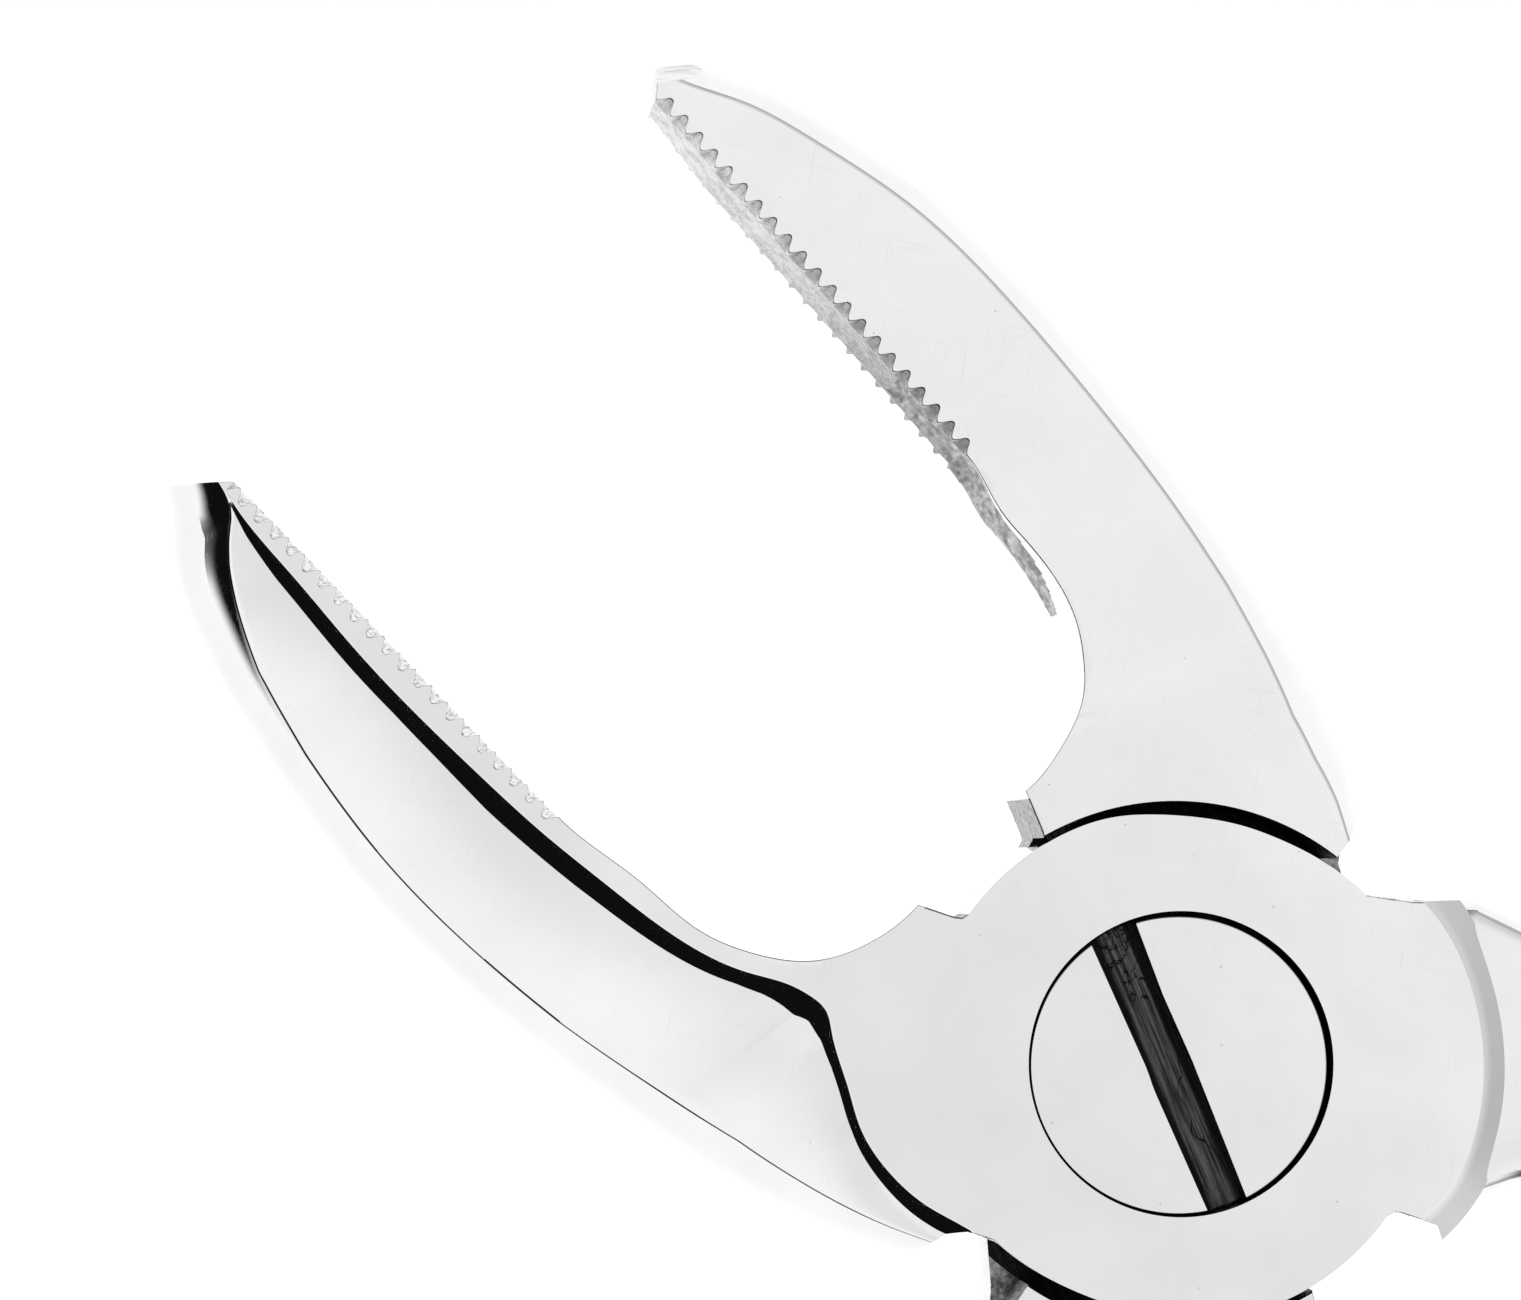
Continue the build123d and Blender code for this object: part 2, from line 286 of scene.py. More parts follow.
def slot_streaks_and_painted_shade(tree):
    """Lengthwise streaks and dark cracks across, closer at one end, under painted shade: near black, with a
    painted lighter strip along the middle where the slot's floor would be lit.
    """
    streaks = between(tree, pattern(tree, (8.0, 0.22, 2.0), SLOT_TILT, 3.0, 0.6), 0.36, 0.66, 0.1, 0.75)
    place = node(tree, "ShaderNodeTexCoord").outputs["Object"]
    tilt = (0, 0, math.radians(SLOT_TILT))
    turned = node(tree, "ShaderNodeMapping", (("Vector", place), ("Rotation", tilt)))
    split = node(tree, "ShaderNodeSeparateXYZ", ((0, turned.outputs[0]),))
    across = maths(tree, "ADD", split.outputs["X"], SLOT_SHIFT * MM)
    # painted shade and light: outside this middle strip the colour drops to near black like a shaded wall,
    # and inside it stays lighter like a lit floor
    strip = between(tree, maths(tree, "ABSOLUTE", across, 0.0), 0.78 * MM, 0.60 * MM, 0.06, 1.0)
    few = pattern(tree, (0.55, 0.24, 1.0), SLOT_TILT, 2.0)
    many = pattern(tree, (1.3, 1.1, 1.0), SLOT_TILT, 3.0)
    cracks = between(tree, maths(tree, "ABSOLUTE", maths(tree, "SUBTRACT", few, 0.52), 0.0), 0.010, 0.004)
    bark = between(tree, maths(tree, "ABSOLUTE", maths(tree, "SUBTRACT", many, 0.5), 0.0), 0.022, 0.008)
    bark = maths(tree, "MULTIPLY", bark, between(tree, split.outputs["Y"], 3.4 * MM, 4.0 * MM))
    dark = maths(tree, "MULTIPLY", maths(tree, "MAXIMUM", cracks, bark), 0.6)
    return maths(tree, "SUBTRACT", maths(tree, "MULTIPLY", streaks, strip), dark)


# painted shade: this near-black colour goes on the walls of the screw's slot, the recess round its head, the
# gap at the shoulder and the nut's spanner holes, as if they lay in shade
recess_steel_painted_shade = metal("painted_shade_recess_steel", (0.010, 0.010, 0.011), (0.20, 0.20, 0.205), slot_streaks_and_painted_shade,
                lambda tree: between(tree, pattern(tree, (4.0, 0.4, 2.0), SLOT_TILT), 0.3, 0.7, 0.35, 0.6),
                lambda tree: pattern(tree, (8.0, 0.5, 2.0), SLOT_TILT, 4.0, 0.6), 0.08)


# ---- curves ----
def lengths(p):
    """Each point's distance along a polyline."""
    return np.concatenate([[0.0], np.cumsum(np.linalg.norm(np.diff(p, axis=0), axis=1))])


def smooth(points, count, start=None, end=None):
    """count points, evenly spaced, on the cubic spline through points; start and end are tangents."""
    p = np.array(points, float)
    t = lengths(p)
    n, h = len(p), np.diff(t)
    a, b = np.zeros((n, n)), np.zeros((n, 2))
    for i in range(1, n - 1):
        a[i, i - 1:i + 2] = 1 / h[i - 1], 2 * (1 / h[i - 1] + 1 / h[i]), 1 / h[i]
        b[i] = 3 * ((p[i] - p[i - 1]) / h[i - 1] ** 2 + (p[i + 1] - p[i]) / h[i] ** 2)
    for row, near, side, tangent in ((0, 1, 0, start), (n - 1, n - 2, n - 2, end)):
        if tangent is None:
            a[row, row], a[row, near] = 2, 1
            b[row] = 3 * (p[side + 1] - p[side]) / h[side]
        else:
            a[row, row] = 1
            b[row] = np.array(tangent, float) / np.linalg.norm(tangent)
    slope = np.linalg.solve(a, b)
    fine = np.linspace(0, t[-1], 40 * n)
    k = np.clip(np.searchsorted(t, fine, side="right") - 1, 0, n - 2)
    u = ((fine - t[k]) / h[k])[:, None]
    hk = h[k][:, None]
    q = ((2 * u**3 - 3 * u**2 + 1) * p[k] + (u**3 - 2 * u**2 + u) * hk * slope[k]
         + (-2 * u**3 + 3 * u**2) * p[k + 1] + (u**3 - u**2) * hk * slope[k + 1])
    return even(q, count)


def even(points, count):
    """count points at equal distances along a polyline."""
    p = np.array(points, float)
    s = lengths(p)
    at = np.linspace(0, s[-1], count)
    return np.stack([np.interp(at, s, p[:, i]) for i in range(p.shape[1])], axis=1)


def left_normals(p, closed=False):
    """Unit vectors to the left of the direction of travel."""
    d = (np.roll(p, -1, 0) - np.roll(p, 1, 0)) if closed else np.gradient(p, axis=0)
    d /= np.maximum(np.linalg.norm(d, axis=1, keepdims=True), 1e-9)
    return np.stack([-d[:, 1], d[:, 0]], axis=1)


def inward_normals(p):
    """Unit vectors into a closed outline, whichever way round it runs."""
    area = np.sum(p[:, 0] * np.roll(p[:, 1], -1) - np.roll(p[:, 0], -1) * p[:, 1])
    return left_normals(p, closed=True) * (1 if area >= 0 else -1)


def ease(value, low, high):
    """0 below low, 1 above high, and smooth between them."""
    u = np.clip((np.asarray(value, float) - low) / (high - low), 0, 1)
    return u * u * (3 - 2 * u)


def half_thickness(y):
    """From the middle plane to the raised face, at a distance y along the lever."""
    y = np.asarray(y, float)
    jaw = HALF_DISC + (HALF_JAW - HALF_DISC) * ease(y, 16.8, 35.0)
    grip = HALF_DISC + (HALF_GRIP - HALF_DISC) * (ease(-y, 16.8, 50.0) - ease(-y, 74.0, 106.0))
    return np.where(y > 0, jaw, grip)


# ---- meshes from rings ----
def ring_mesh(name, rings, surface, slots=None, inside=()):
    """A closed mesh through rings of equal length, each an array of (x, y, z), with its two ends capped.

    surface is its material, or a list of them with slots giving each band's place in the list, ring by ring.
    inside holds points within the first cap and points within the last one.
    """
    count = len(rings[0])
    verts = np.concatenate(rings)
    faces = []
    for r in range(len(rings) - 1):
        for i in range(count):
            j = (i + 1) % count
            faces.append((r * count + i, r * count + j, (r + 1) * count + j, (r + 1) * count + i))
    for r, turned, extra in ((0, True, inside[:1]), (len(rings) - 1, False, inside[1:])):
        extra = extra[0] if extra else np.zeros((0, 3))
        faces += cap(rings[r], r * count, turned, extra, len(verts))
        verts = np.concatenate([verts, extra])
    mesh = bpy.data.meshes.new(name)
    mesh.from_pydata([tuple(v) for v in verts], [], faces)
    for material in surface if isinstance(surface, list) else [surface]:
        mesh.materials.append(material)
    if slots is not None:
        index = np.zeros(len(faces), np.int32)
        index[:slots.size] = slots.ravel()
        mesh.polygons.foreach_set("material_index", index)
    tidy = bmesh.new()
    tidy.from_mesh(mesh)
    bmesh.ops.recalc_face_normals(tidy, faces=tidy.faces)
    tidy.to_mesh(mesh)
    tidy.free()
    piece = bpy.data.objects.new(name, mesh)
    bpy.context.scene.collection.objects.link(piece)
    return piece


def cap(ring, first, turned, extra, first_extra):
    """Triangles that fill a ring and use the extra points, found in the plane in which it is widest."""
    spread = ring.max(axis=0) - ring.min(axis=0)
    keep = sorted(np.argsort(spread)[1:])
    flat = [Vector((float(p[keep[0]]), float(p[keep[1]]))) for p in (*ring, *extra)]
    edges = [(i, (i + 1) % len(ring)) for i in range(len(ring))]
    out = delaunay_2d_cdt(flat, edges, [], 1, 1e-6)
    faces = []
    for tri in out[2]:
        corner = [out[3][v][0] if out[3][v] else None for v in tri]
        if None not in corner and len(set(corner)) == 3:
            corner = [first + c if c < len(ring) else first_extra + c - len(ring) for c in corner]
            faces.append(tuple(reversed(corner) if turned else corner))
    return faces


def lift(xy, z):
    """An (n, 3) array from plan points and a height, or heights."""
    return np.column_stack([xy, np.broadcast_to(z, (len(xy),))])


def combine(piece, other, operation):
    """Applies a Boolean of other to piece, and removes other."""
    step = piece.modifiers.new("combine", "BOOLEAN")
    step.operation = operation
    step.solver = "MANIFOLD"
    step.material_mode = "TRANSFER"
    step.object = other
    depsgraph = bpy.context.evaluated_depsgraph_get()
    mesh = bpy.data.meshes.new_from_object(piece.evaluated_get(depsgraph))
    piece.modifiers.clear()
    old = piece.data
    piece.data = mesh
    bpy.data.meshes.remove(old)
    bpy.data.objects.remove(other)
    return piece


# ---- the plan outline that trims a lever: teeth, neck, stop, disc and heels ----
def tooth_edge(shape):
    """The toothed line from the tip to the root, in plan, with each point's notch depth at the face."""
    a, b = np.array(shape["row"])
    row = [((n + at) / TOOTH_COUNT, deep) for n in range(TOOTH_COUNT) for at, deep in TOOTH_PROFILE]
    share, depth = np.array(row).T
    first = (shape["tip"][0][1] - a[1]) / (b[1] - a[1])
    kept = share > first
    share = np.concatenate([[first], share[kept]])
    depth = np.concatenate([[0.0], depth[kept]]) * TOOTH_DEPTH
    return a + (b - a) * share[:, None], depth


def disc_edge(start, end):
    """The disc's edge on the jaw's side, clockwise between two angles in degrees."""
    turn = np.linspace(start, end, 90)
    radius = np.interp(turn, *zip(*DISC_EDGE))
    radius = np.convolve(np.pad(radius, 4, "edge"), np.ones(9) / 9, "valid")
    turn = np.radians(turn)
    return np.column_stack([radius * np.cos(turn), radius * np.sin(turn)])


def trim_outline(shape):
    """Plan points round the lever, each with its notch depth, edge rounding, bulge of the wall and kind."""
    tip, root = np.array(shape["row"])
    inner, outer = np.array(shape["tip"])
    teeth, depth = tooth_edge(shape)
    neck = smooth(shape["inner"], NECK_POINTS, start=root - tip, end=(1.0, -0.12))
    at = lengths(neck)
    disc, back_disc = disc_edge(STOP_ANGLE, -13.7), -disc_edge(STOP_ANGLE, -12.2)
    stop = even([shape["inner"][-1], STOP_IN, disc[0]], 8)
    grip_heel, jaw_heel = even(GRIP_HEEL, 16), even(JAW_HEEL, 20)
    # well clear of the lever where its own sides are its outline
    handle = np.array([(24.0, -10.0), (26.0, -60.0), (26.0, -125.0), (-2.0, -125.0), (-1.5, -60.0),
                       (-0.6, -17.6)])
    beside_jaw = np.array([(-26.0, 10.0), (-26.0, 66.0)])
    teeth_bulge = shape["swell"] * ease(lengths(teeth), 4.0, 20.0)
    neck_bulge = shape["swell"] + shape["hump"] * (ease(at, 0.0, 7.0) - 0.8 * ease(at, 11.0, 17.0))
    stretches = [  # points, notch depth, edge rounding, bulge, kind
        ([inner + (outer - inner) * 3.0], 0, 0.08, 0, "cut"),
        (teeth, depth, 0.1, teeth_bulge, "teeth"),
        (neck, 0, 0.14, neck_bulge, "neck"),
        (stop[1:-1], 0, 0.12, 0, "stop"),
        (disc, 0, 0.04, 0, "plain"),
        (grip_heel, 0, 0.15, 0, "cut"),
        (handle, 0, 0.12, 0, "plain"),
        (-stop[:-1], 0, 0.12, 0, "cut"),
        (back_disc[:-1], 0, 0.04, 0, "plain"),
        (jaw_heel, 0, 0.15, 0, "cut"),
        (beside_jaw, 0, 0.12, 0, "plain")]
    columns = [np.concatenate([np.broadcast_to(part[k], (len(part[0]),)) for part in stretches])
               for k in (1, 2, 3, 4)]
    return np.concatenate([part[0] for part in stretches]), *columns


def trim_solid(shape):
    """The outline as a solid: notched by the teeth, bulging or hollow, and turned in at both faces."""
    points, notch, edge, bulge, kind = trim_outline(shape)
    inward = inward_normals(points)
    run = np.subtract(shape["row"][1], shape["row"][0])
    run = run / np.linalg.norm(run)
    inward[kind == "teeth"] = np.array((run[1], -run[0]))
    # its corners out there are raised, so that its faces stay clear of the lever's
    away = (np.abs(points[:, 0]) > 20.0) | (points[:, 1] < -17.0)
    tall = half_thickness(points[:, 1]) + 2.0 * away
    teeth_at, neck_at = lengths(points[kind == "teeth"]), lengths(points[kind == "neck"])
    lean = np.zeros(len(points))
    lean[kind == "teeth"] = shape["lean"] * ease(teeth_at, 0.0, 5.0)
    lean[kind == "neck"] = shape["lean"] * (1 - ease(neck_at, 0.0, 6.0))
    # the edge's section in units of its rounding: (depth below the face, distance in)
    rounding = [(-1.6, 1.6), (-0.05, 1.0), (0.0, 1.0), (0.04, 0.72), (0.13, 0.51), (0.29, 0.30), (0.5, 0.13),
                (0.75, 0.03), (1.0, 0.0)]
    rings = [(edge * down, edge * inset) for down, inset in rounding]
    rings += [(np.full(len(points), down), 0.0) for down in WALL_DROPS]
    halves = []
    for half in (1, -1):
        rows = []
        for down, inset in rings:
            cut = np.maximum(notch * (1 - np.maximum(down, 0) / NOTCH_DROP), 0)
            out = bulge * ease(down, -0.6, 3.9) - bulge * ease(0.0, -0.6, 3.9)
            out = out + lean * (0.5 + half * 0.5 * (1 - np.clip(down / tall, 0, 1)))
            rows.append(lift(points + inward * (inset + cut - out)[:, None], (tall - down) * half))
        halves.append(rows)
    upper, lower = halves
    # how far below the face the wall is as forged: nowhere on most of it, and less and less along the neck
    never = 99.0
    forged_from = np.full(len(points), never)
    forged_from[kind == "neck"] = 0.5 + 0.1 * neck_at + 4.0 * (neck_at / 9.8) ** 5
    forged_from[kind == "teeth"] = np.where(teeth_at > 19.0, NOTCH_DROP + 0.2, never)
    surfaces = [polished, forged, cut_metal, bright_cut]
    slots = np.zeros((2 * len(upper) - 1, len(points)), int)
    for band in range(len(upper)):
        depth = rings[band][0].mean() if band < len(rounding) else WALL_DROPS[band - len(rounding)]
        surface = np.where(kind == "cut", surfaces.index(bright_cut), surfaces.index(polished))
        surface[kind == "stop"] = surfaces.index(cut_metal)
        surface[kind == "teeth"] = surfaces.index(bright_cut if shape["teeth"] == "bright" else cut_metal)
        surface = np.where(depth >= forged_from, surfaces.index(forged), surface)
        if band < 2:
            surface = np.full(len(points), surfaces.index(polished))
        slots[band] = slots[-1 - band] = surface
    return ring_mesh("trim", upper + lower[::-1], surfaces, slots)


# ---- the raised strip beside the teeth, the disc and the step down to the side panel ----
def plateau_solid():
    """The raised faces. The +Z one slopes down to the side panel along the step, the -Z one doesn't."""
    step = smooth(STEP_LINE, JAW_POINTS)
    arc = np.linspace(math.radians(191), math.radians(262), 40)
    lower = np.column_stack([RAISED_R * np.cos(arc), RAISED_R * np.sin(arc)])
    over_grip = smooth([(-0.6, -14.4), (2.0, -15.0), (6.5, -14.2), (11.0, -11.0), (13.7, -6.6),
                        (14.2, -1.5)], 60)
    arc = np.linspace(math.radians(5), math.radians(80), 40)
    upper = np.column_stack([RAISED_R * np.cos(arc), RAISED_R * np.sin(arc)])
    inner = np.array([(2.6, 15.5), (0.6, 17.6), (-4.2, 20.5), (-6.0, 24.5), (-5.6, 32.0), (-1.3, 56.0),
                      (-0.4, 60.6)])
    rest = np.concatenate([lower, over_grip, upper, even(inner, 60)])
    points = np.concatenate([step, rest])
    outward = -inward_normals(points)
    start = len(step) + len(lower)
    sloped = np.zeros(len(points))
    sloped[start:start + len(over_grip)] = 1.0
    halves = []
    for at_step in (0.25 + 0.75 * ease(lengths(step), 2.6, 4.2), 0.0):
        sloped[:len(step)] = at_step
        tall = half_thickness(points[:, 1]) - RAISED_DROP
        half = [lift(points, tall)]
        # rounded at the top, then a steady slope
        for drop, out in ((0.01, 0.04), (0.035, 0.09)):
            half.append(lift(points + outward * (sloped * out)[:, None], tall - drop))
        for drop in (0.3, 0.6, 1.0):
            out = sloped * (0.09 + (drop - 0.035) / math.tan(STEP_SLOPE))
            half.append(lift(points + outward * out[:, None], tall - drop))
        half.append(lift(half[-1][:, :2], 1.0))
        halves.append(half)
    flipped = [ring * np.array((1, 1, -1)) for ring in reversed(halves[1])]
    # points over the neck, so that both faces follow the curve of the thickness there
    steps = np.arange(17.0, 36.0, 0.6)
    upward = step[::-1]
    upward = upward[np.argsort(upward[:, 1])]
    left = np.interp(steps, upward[:, 1], upward[:, 0])
    inside = np.array([(x, y) for y, edge in zip(steps, left) for x in np.arange(edge + 0.5, -5.8, 0.6)])
    face = half_thickness(inside[:, 1]) - RAISED_DROP
    within = (lift(inside, face), lift(inside, -face))
    return ring_mesh("plateau", halves[0] + flipped, polished, inside=within)


# ---- the jaw's body: crowned side panel, ridge and rolled outer side ----
def jaw_solid(shape):
    """The jaw outside the step: the stepped face's crowned panel, the level face, and the rolled sides."""
    outer = smooth(shape["outer"], JAW_POINTS)
    under = smooth(STEP_LINE[:-1], JAW_POINTS)
    along, along_step = lengths(outer), lengths(under)
    reach = np.linalg.norm(under - outer, axis=1)
    inward = (under - outer) / reach[:, None]
    # the panel tapers away where the rolled side reaches the step
    spare = reach - np.interp(along, *zip(*shape["roll"]))
    panel_w = (spare + np.hypot(spare, 0.3)) / 2
    roll_w = reach - panel_w
    ridge = outer + inward * roll_w[:, None]
    hidden = under + inward * 0.5

    def rows(face, turn_w, steep):
        """Rows over the panel, round the ridge and down the rolled side to the middle plane."""
        share = turn_w / (panel_w + 0.5)
        made = []
        for q in np.linspace(0.0, 1.0, 22):
            at = q * (1 - share)
            xy = hidden + (ridge - hidden) * at[:, None]
            made.append(lift(xy, face(at, xy)))
        for out, drop in RIDGE_TURN:
            at = 1 - share * (1 - out / RIDGE_TURN[-1][0])
            xy = hidden + (ridge - hidden) * at[:, None]
            made.append(lift(xy, face(at, xy) - drop * turn_w / RIDGE_TURN[-1][0]))
        edge = made[-1][:, 2]
        for t in np.linspace(0.0, 1.0, 29)[1:]:
            out = roll_w * (2 * t - t * t)
            drop = 2 * t * (1 - t) * roll_w * np.tan(steep) + t * t * edge
            made.append(lift(ridge - inward * out[:, None], edge - drop))
        return np.array(made)

    # the panel's height at the foot of the step and at the ridge
    foot_fall = np.interp(along_step, *zip(*STEP_FALL)) * ease(panel_w, 0.02, 0.3)
    near = half_thickness(under[:, 1]) - LEVEL_DROP - foot_fall
    fall = (LEVEL_DROP + 0.35 * ease(along, 0.0, 9.0)
            + 0.83 * ease(along, 4.0, 18.0) * (1 - 0.85 * ease(along, 44.0, 55.0)))
    far = half_thickness(ridge[:, 1]) - fall
    crown = 0.02 + 0.10 * ease(along, 6.0, 22.0)
    stepped = rows(lambda at, xy: near + (far - near) * at**1.25 + crown * 4 * at * (1 - at),
                   np.minimum(0.3, panel_w), np.radians(np.interp(along, *zip(*shape["steep"]))))
    level = rows(lambda at, xy: half_thickness(xy[:, 1]) - LEVEL_DROP,
                 np.minimum(0.5, panel_w), math.radians(46.0))
    loop = np.concatenate([stepped, level[::-1][1:] * np.array((1, 1, -1))])
    return ring_mesh("jaw", [loop[:, i, :] for i in range(JAW_POINTS)], polished)


# ---- the handle: boxy at the neck, oval along the grip, with a blunt rounded end ----
def grip_solid():
    body = 120
    inner = smooth(GRIP_INNER, body)
    outer = smooth(GRIP_OUTER, body)
    start_in = even([(1.5, -9.0), (0.0, -13.0), (0.64, -15.70)], 10)[:-1]
    start_out = even([(9.5, -1.0), (13.2, -4.0), (15.81, -8.19)], 10)[:-1]
    inner, outer = np.concatenate([start_in, inner]), np.concatenate([start_out, outer])
    middle, reach = (inner + outer) / 2, (outer - inner) / 2
    tall = half_thickness(middle[:, 1]) - 0.75 * (1 - ease(-middle[:, 1], 60.0, 104.0))
    along = lengths(middle)
    power = 2.5 + 5.5 * (1 - ease(along, 8.0, 42.0))
    end = middle[-1]
    travel = end[1] - GRIP_END_Y
    turn = np.linspace(0, 2 * math.pi, 64, endpoint=False)
    rings = []
    for i in range(len(middle)):
        c = np.sign(np.cos(turn)) * np.abs(np.cos(turn)) ** (2 / power[i])
        s = np.sign(np.sin(turn)) * np.abs(np.sin(turn)) ** (2 / power[i])
        rings.append(lift(middle[i] + reach[i] * c[:, None], tall[i] * s))
    axis = (middle[-1] - middle[-6]) / np.linalg.norm(middle[-1] - middle[-6])
    for angle in np.linspace(0, math.pi / 2, 18)[1:-1]:
        c = np.sign(np.cos(turn)) * np.abs(np.cos(turn)) ** (2 / power[-1])
        s = np.sign(np.sin(turn)) * np.abs(np.sin(turn)) ** (2 / power[-1])
        xy = end + axis * travel * math.sin(angle) + reach[-1] * c[:, None] * math.cos(angle) ** 0.9
        rings.append(lift(xy, tall[-1] * s * math.cos(angle) ** 0.75))
    return ring_mesh("grip", rings, polished)


# ---- cutters ----
def turned_solid(name, profile, surface, count=128, centre=(0.0, 0.0)):
    """A solid of revolution about a vertical axis from (radius, z) pairs."""
    turn = np.linspace(0, 2 * math.pi, count, endpoint=False)
    circle = np.column_stack([np.cos(turn), np.sin(turn)])
    return ring_mesh(name, [lift(circle * r + np.array(centre), z) for r, z in profile], surface)


def lap_cutter():
    """Room behind the disc for the other lever's disc, out to the arc shoulder."""
    # painted shade: its walls take the near-black recess colour, so the gap at the shoulder reads dark
    return turned_solid("lap", [(SHOULDER_R + 1.1, -HALF_DISC - 1.0), (SHOULDER_R + 0.09, -HALF_DISC),
                                (SHOULDER_R + 0.02, -HALF_DISC + 0.08), (SHOULDER_R, -HALF_DISC + 0.2),
                                (SHOULDER_R, LAP_GAP / 2)], recess_steel_painted_shade, 180, SHOULDER_SHIFT)


def heel_cutter(side):
    """Cuts the half behind the disc back to a wall at a heel; side is -1 at the jaw, 1 at the handle."""
    angle = math.radians(JAW_HEEL_SLOPE if side < 0 else GRIP_HEEL_SLOPE)
    reach = 40.0
    plan = np.array([(0.0, 0.0), (-reach * math.cos(angle), reach * math.sin(angle)), (-reach, 0.0)]) * -side
    # its top is a hair below the lap's floor, so that the two aren't in one plane
    return ring_mesh("heel", [lift(plan, -HALF_DISC - 1.0), lift(plan, LAP_GAP / 2 - 0.003)], forged)


def recess_cutter():
    floor = HALF_DISC - RECESS_DEPTH
    profile = [(RECESS_R, floor), (RECESS_R, HALF_DISC - 0.05), (RECESS_R + 0.025, HALF_DISC),
               (RECESS_R + 0.2, HALF_DISC + 0.2)]
    # painted shade: the recess wall round the head takes the near-black recess colour
    return turned_solid("recess", profile, recess_steel_painted_shade, 200, RECESS_SHIFT)


def facet_cutter(start, end):
    """Bevels the tip back to a line on both faces, ground across and left scratched."""
    start, end = np.array(start), np.array(end)
    along = (end - start) / np.linalg.norm(end - start)
    out = np.array((-along[1], along[0]))
    if out[1] < 0:
        out = -out
    section = [(-0.12, 5.6), (0.0, 5.0), (0.45, 3.8), (0.85, 2.4), (1.2, 1.0), (1.32, 0.0), (1.2, -1.0),
               (0.85, -2.4), (0.45, -3.8), (0.0, -5.0), (-0.12, -5.6), (6.0, -5.6), (6.0, 5.6)]
    rings = [np.array([(*(start + along * at + out * far), z) for far, z in section]) for at in (-5.0, 9.0)]
    return ring_mesh("facet", rings, bright_cut)


def make_lever(shape):
    lever = plateau_solid()
    combine(lever, jaw_solid(shape), "UNION")
    combine(lever, grip_solid(), "UNION")
    combine(lever, trim_solid(shape), "INTERSECT")
    if shape["facet"]:
        combine(lever, facet_cutter(*shape["facet"]), "DIFFERENCE")
    combine(lever, lap_cutter(), "DIFFERENCE")
    combine(lever, heel_cutter(-1), "DIFFERENCE")
    combine(lever, heel_cutter(1), "DIFFERENCE")
    combine(lever, recess_cutter(), "DIFFERENCE")
    combine(lever, turned_solid("bore", [(BORE_R, -10.0), (BORE_R, 10.0)], forged, 96), "DIFFERENCE")
    return lever


def place(piece, name, body, node, turn, over):
    """Brings a piece from its own frame into the tool's, turned over if it is the rear lever's."""
    move = Matrix.Translation((0, 0, MID_Z * MM)) @ Matrix.Rotation(turn, 4, "Z")
    if over:
        move = move @ Matrix.Rotation(math.pi, 4, "Y")
    piece.data.transform(move @ Matrix.Scale(MM, 4))
    piece.name = piece.data.name = name
    piece.data.shade_smooth()
    piece.data.set_sharp_from_angle(angle=math.radians(12))
    even_out = piece.modifiers.new("face weighted normals", "WEIGHTED_NORMAL")
    even_out.keep_sharp = True
    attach(piece, body)
    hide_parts(node)
    return piece


# ---- screw and nut ----
def make_screw():
    """Head with a slot, bearing shank and threaded end, about the middle plane."""
    top = HALF_DISC
    profile = [(3.6, -6.6), (4.0, -6.2), (4.0, -4.0), (5.0, -4.0), (5.0, 4.0), (HEAD_R, 4.0),
               (HEAD_R, top - 0.10), (HEAD_R - 0.02, top - 0.03), (HEAD_R - 0.06, top)]
    screw = turned_solid("screw", profile, polished, 200)
    slot = [(-1.3, 8.2), (1.3, 8.2), (1.12, 3.6), (1.2, 0.0), (1.03, -8.2), (-1.06, -8.2), (-1.2, -0.6),
            (-1.12, 0.4)]
    slot = even(slot + slot[:1], 80)[:-1]
    inward = left_normals(slot, closed=True)
    walls = [(-0.25, 0.6), (0.0, -0.01), (0.05, -1.1), (0.2, -1.55), (0.5, -1.7)]
    # painted shade: the slot's walls and floor take the near-black recess colour
    cutter = ring_mesh("slot", [lift(slot + inward * inset, top + z) for inset, z in walls], recess_steel_painted_shade)
    tilt = Matrix.Rotation(math.radians(-SLOT_TILT), 4, "Z")
    cutter.data.transform(tilt @ Matrix.Translation((-SLOT_SHIFT, 0, 0)))
    return combine(screw, cutter, "DIFFERENCE")


def make_nut():
    """A round nut with a threaded hole and two spanner holes, flush with the back."""
    top = -HALF_DISC
    nut = turned_solid("nut", [(HEAD_R - 0.06, top), (HEAD_R - 0.02, top + 0.03), (HEAD_R, top + 0.10),
                               (HEAD_R, top + 3.0)], polished, 200)
    thread = [(4.25, top - 1), (4.25, top), (4.02, top + 0.25), (4.02, top + 4)]
    combine(nut, turned_solid("thread", thread, forged, 96), "DIFFERENCE")
    spanner_hole = [(1.6, top - 0.7), (0.9, top), (0.9, top + 1.4), (0.02, top + 1.7)]
    for x in (-5.8, 5.8):
        # painted shade: the spanner holes take the near-black recess colour
        hole = turned_solid("hole", spanner_hole, recess_steel_painted_shade, 40, (x, 0.0))
        combine(nut, hole, "DIFFERENCE")
    return nut


front = place(make_lever(FRONT), "front_lever_polished", "front", "front_lever", REST_HALF, False)
rear = place(make_lever(REAR), "rear_lever_polished", "rear", "rear_lever", -REST_HALF, True)
screw = place(make_screw(), "slotted_pivot_screw", "front", "pivot_screw", 0.0, False)
nut = place(make_nut(), "round_pivot_nut", "front", "pivot_nut", 0.0, False)

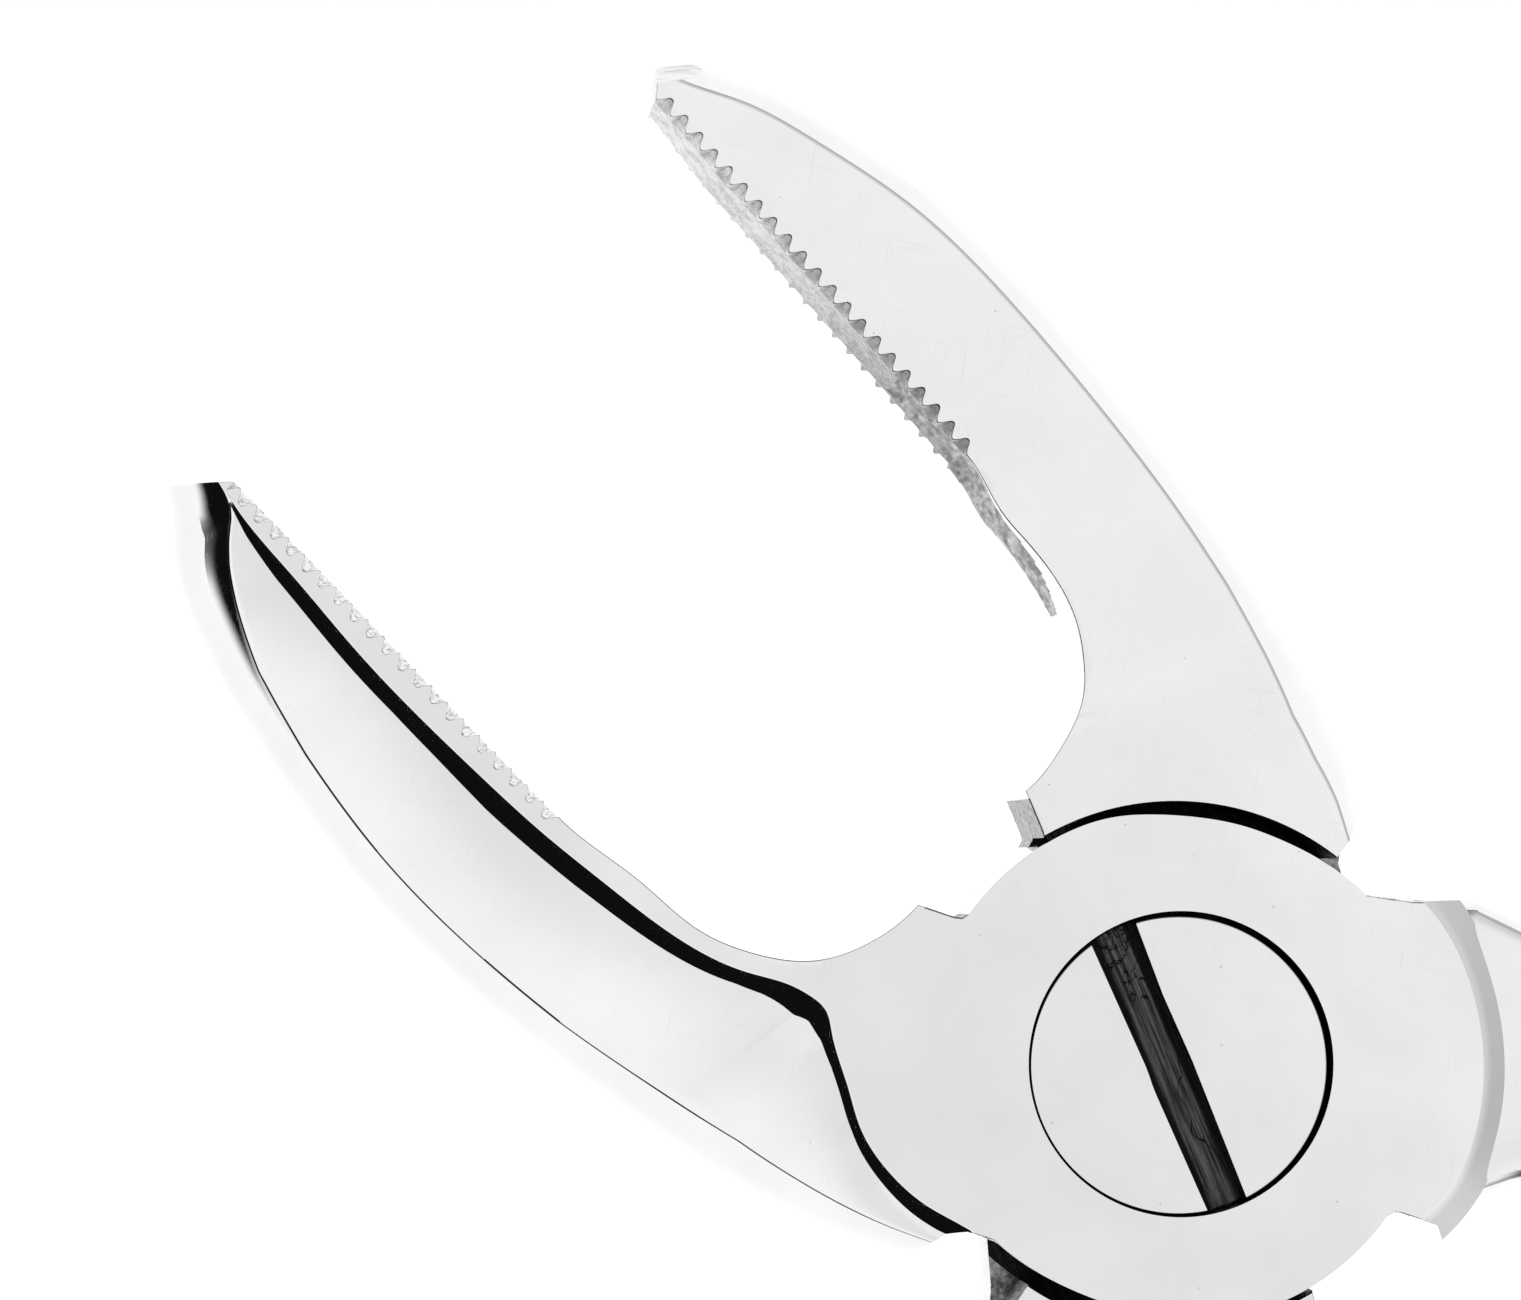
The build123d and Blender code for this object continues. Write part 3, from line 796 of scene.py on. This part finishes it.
# ---- floor, light and camera ----
low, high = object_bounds()
bpy.ops.mesh.primitive_plane_add(size=6.0, location=(0, 0, low.z - 0.0002))
floor = bpy.context.object
floor.name = "floor"
pale = bpy.data.materials.new("pale floor")
pale.use_nodes = True
pale_inputs = pale.node_tree.nodes["Principled BSDF"].inputs
pale_inputs["Base Color"].default_value = (0.9, 0.9, 0.9, 1)
pale_inputs["Roughness"].default_value = 0.8
pale_inputs["Emission Color"].default_value = (1, 1, 1, 1)
pale_inputs["Emission Strength"].default_value = 0.88
floor.data.materials.append(pale)

world = bpy.data.worlds.new("studio")
bpy.context.scene.world = world
world.use_nodes = True
world.cycles.sampling_method = "NONE"
sky = world.node_tree
direction = node(sky, "ShaderNodeTexCoord").outputs["Generated"]
height = node(sky, "ShaderNodeSeparateXYZ", ((0, direction),)).outputs["Z"]
plan = node(sky, "ShaderNodeVectorMath", ((0, direction), (1, (1, 1, 0))), operation="MULTIPLY").outputs[0]
level = node(sky, "ShaderNodeVectorMath", ((0, plan),), operation="NORMALIZE").outputs[0]


def towards(x, y, low, high):
    """1 on the side of the room that (x, y) points to, from the cosines low to high of the angle from it."""
    facing = node(sky, "ShaderNodeVectorMath", ((0, level), (1, (x, y, 0))), operation="DOT_PRODUCT")
    return between(sky, facing.outputs["Value"], low, high)


def blend(base, brightness, share):
    """base, going to a grey of this brightness with share."""
    grey = (brightness, brightness, brightness, 1)
    mixed = node(sky, "ShaderNodeMixRGB", (("Fac", share), ("Color1", base), ("Color2", grey)))
    return mixed.outputs["Color"]


# the room is nearly even, a little dimmer straight overhead
room = node(sky, "ShaderNodeValToRGB", (("Fac", height),))
for stop_at, brightness in ((0.0, 0.90), (0.5, 0.92), (0.90, 0.92), (0.98, 0.89), (1.0, 0.85)):
    ramp = room.color_ramp.elements
    stop = ramp.new(stop_at) if 0 < stop_at < 1 else ramp[-int(stop_at)]
    stop.color = (brightness, brightness, brightness, 1)
side = node(sky, "ShaderNodeSeparateXYZ", ((0, direction),)).outputs["X"]
seen = blend(room.outputs["Color"], 0.96, between(sky, side, 0.04, 0.11))
seen = blend(seen, 1.02, between(sky, side, -0.06, -0.34))
# its sides are darker lower down: the brightness, the heights where that starts and is full, the side, and
# the cosines of its spread
for brightness, starts, full, side_at, spread in (
        (0.72, 0.88, 0.45, (1, 0), (0.25, 0.6)), (0.50, 0.40, 0.26, (1, 0), (0.25, 0.6)),
        (0.50, 0.45, 0.20, (0, -1), (0.5, 0.8)), (0.15, 0.55, 0.35, (0, 1), (0.4, 0.7))):
    share = maths(sky, "MULTIPLY", between(sky, height, starts, full), towards(*side_at, *spread))
    seen = blend(seen, brightness, share)
# a dark card stands on the -X side
dark_card = maths(sky, "MULTIPLY", between(sky, height, 0.66, 0.58), between(sky, height, 0.0, 0.24))
seen = blend(seen, 0.005, maths(sky, "MULTIPLY", dark_card, towards(-1, 0, 0.25, 0.45)))
# matt surfaces get much less of its light than the polished metal mirrors
lit = node(sky, "ShaderNodeLightPath").outputs["Is Diffuse Ray"]
sky.links.new(blend(seen, 0.16, lit), sky.nodes["Background"].inputs["Color"])

# the point below the camera, what it looks at, its height over the tool, and the width in view there
NADIR = Vector((-24.04, 36.13, 0.0)) * MM
TARGET = Vector((-1.005, 30.065, STACK_T)) * MM
CAMERA_H = 410.0 * MM
ACROSS = 77.54 * MM
SENSOR = 36.0
# the way in plan that is to the right in the picture
PICTURE_RIGHT = Vector((0.7283, -0.6853, 0.0))
eye = NADIR + Vector((0, 0, STACK_T * MM + CAMERA_H))
back = (eye - TARGET).normalized()
right = (PICTURE_RIGHT - back * PICTURE_RIGHT.dot(back)).normalized()
up = back.cross(right)
cam_data = bpy.data.cameras.new("camera")
camera = bpy.data.objects.new("camera", cam_data)
bpy.context.scene.collection.objects.link(camera)
camera.matrix_world = Matrix((right, up, back)).transposed().to_4x4()
camera.location = eye
cam_data.sensor_width = SENSOR
cam_data.lens = SENSOR * (eye - TARGET).length / ACROSS
cam_data.clip_start, cam_data.clip_end = 0.01, 20.0
bpy.context.scene.camera = camera
bpy.context.scene.view_settings.view_transform = "Standard"
